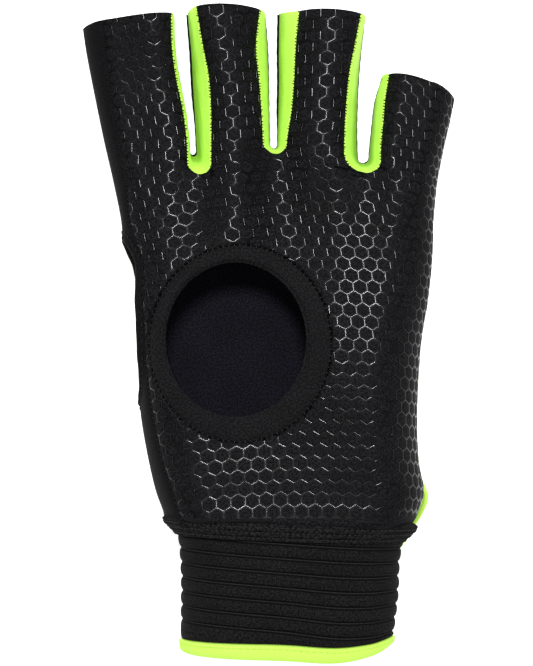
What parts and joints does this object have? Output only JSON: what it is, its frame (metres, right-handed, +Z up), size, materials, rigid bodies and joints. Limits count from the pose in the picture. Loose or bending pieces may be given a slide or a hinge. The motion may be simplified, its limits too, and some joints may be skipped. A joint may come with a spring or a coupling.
{
  "type": "field hockey glove",
  "caption": "Left-hand half-finger field hockey glove: hexagon-grip palm with a round window, lime finger gussets, ribbed elastic cuff and a foam-padded back, lying palm up.",
  "frame": {"origin": "centre of the bounding box on the surface that the glove lies on", "axes": "+Z up out of the palm, +Y from the wrist towards the fingertips, +X from the thumb side towards the little finger"},
  "size_m": [0.1174, 0.2031, 0.0398],
  "materials": {
    "grip_fabric": "matt black cloth with a printed hexagon grip",
    "stretch_fabric": "matt black stretch cloth",
    "lime_fabric": "bright lime stretch cloth",
    "window_band": "matt black felted band",
    "cuff_knit": "black ribbed elastic knit",
    "guard_foam": "matt black closed-cell foam"
  },
  "bodies": {
    "root": {"palm_panel": "grip_fabric", "back_shell": "stretch_fabric", "fourchette_index_middle": "lime_fabric", "fourchette_middle_ring": "lime_fabric", "fourchette_ring_little": "lime_fabric", "palm_window_ring": "window_band", "thumb_hole_binding": "stretch_fabric", "ribbed_cuff": "cuff_knit", "cuff_hem": "lime_fabric", "hand_guard": "guard_foam", "guard_edging": "lime_fabric", "finger_pad_index": "guard_foam", "finger_pad_middle": "guard_foam", "finger_pad_ring": "guard_foam", "finger_pad_little": "guard_foam"}
  },
  "joints": []
}
